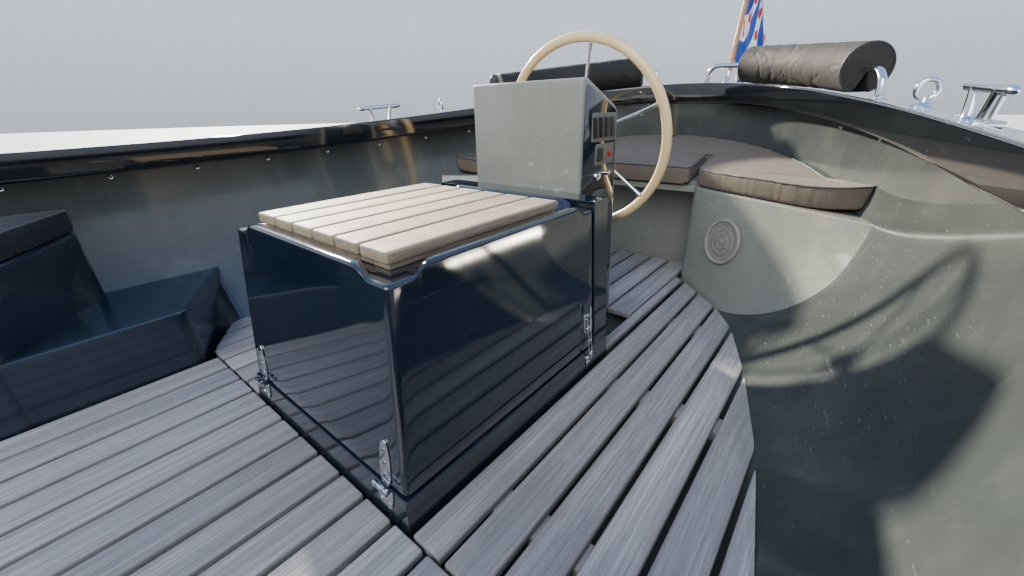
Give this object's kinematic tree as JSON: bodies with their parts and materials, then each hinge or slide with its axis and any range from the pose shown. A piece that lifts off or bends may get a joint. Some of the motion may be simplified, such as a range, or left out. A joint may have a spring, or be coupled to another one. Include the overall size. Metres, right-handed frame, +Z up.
{
  "type": "open motor launch",
  "caption": "Open motor launch with a round stern, slatted teak floor, engine box with a hinged hood and teak seat, steering console with a spoked wheel, benches and cushions.",
  "frame": {"origin": "on the centreline amidships at the waterline", "axes": "+X to the bow, +Y to port, +Z up"},
  "size_m": [6.4935, 2.458, 2.6789],
  "materials": {
    "hull": "glossy dark grey gelcoat",
    "liner": "glossy anthracite gelcoat, lightly scratched",
    "gunwale": "high gloss black",
    "rubber": "matt",
    "teak": "bare weathered grey teak",
    "seat_teak": "bare teak, lightly weathered",
    "engine": "satin paint",
    "stainless": "polished",
    "dark_plastic": "fine grained",
    "wheel_rim": "satin cream",
    "dark_cushion": "coated cloth",
    "cushion": "woven outdoor cloth",
    "varnished_wood": "varnished",
    "flag": "light woven cloth",
    "bronze": "satin"
  },
  "bodies": {
    "hull": {"hull_shell": "hull", "inner_liner": "liner", "gunwale": "gunwale", "rubbing_strake": "rubber", "foredeck": "liner", "forward_bench": "liner", "step_port": "liner", "step_starboard": "liner", "aft_bench": "liner", "speaker_port": "dark_plastic", "speaker_starboard": "dark_plastic", "floor_forward": "teak", "floor_port": "teak", "floor_starboard": "teak", "floor_aft": "teak", "engine_base": "liner", "engine_block": "engine", "hinge_lower_port": "stainless", "hinge_lower_starboard": "stainless", "latch_catch_port": "stainless", "latch_catch_starboard": "stainless", "console": "liner", "switch_panel": "dark_plastic", "instrument_panel": "dark_plastic", "throttle": "dark_plastic", "steering_boss": "dark_plastic", "cushion_side_port": "dark_cushion", "cushion_side_starboard": "dark_cushion", "cushion_bow": "dark_cushion", "rail_port": "stainless", "rail_starboard": "stainless", "rail_roll_port": "dark_cushion", "rail_roll_starboard": "dark_cushion", "bollard_port": "stainless", "bollard_starboard": "stainless", "lifting_eye_port": "stainless", "lifting_eye_starboard": "stainless", "flagstaff": "varnished_wood", "flag": "flag", "keel": "hull", "cushion_aft": "cushion"},
    "hood": {"engine_hood": "liner", "hood_seat": "seat_teak", "hinge_upper_port": "stainless", "hinge_upper_starboard": "stainless", "latch_port": "stainless", "latch_starboard": "stainless"},
    "steering_wheel": {"wheel_rim": "wheel_rim", "wheel_spokes": "stainless"},
    "rudder": {"rudder": "hull"},
    "propeller": {"propeller": "bronze", "propeller_shaft": "stainless"}
  },
  "joints": [
    {"name": "hood_hinge", "type": "hinge", "parent": "hull", "child": "hood", "pos_m": [-0.821, 0, 0.13], "axis": [0, 1, 0], "range_deg": [0, 85]},
    {"name": "wheel_turn", "type": "hinge", "parent": "hull", "child": "steering_wheel", "pos_m": [-1.965, 0, 0.68], "axis": [0.9877, 0, -0.1564], "range_deg": [-630, 630]},
    {"name": "rudder_turn", "type": "hinge", "parent": "hull", "child": "rudder", "pos_m": [-2.44, 0, -0.4], "axis": [0, 0, 1], "range_deg": [-35, 35]},
    {"name": "propeller_spin", "type": "hinge", "parent": "hull", "child": "propeller", "pos_m": [-2.205, 0, -0.478], "axis": [1, 0, 0], "continuous": true}
  ],
  "couplings": [
    {"joint": "wheel_turn", "follows": "rudder_turn", "ratio": 18}
  ]
}
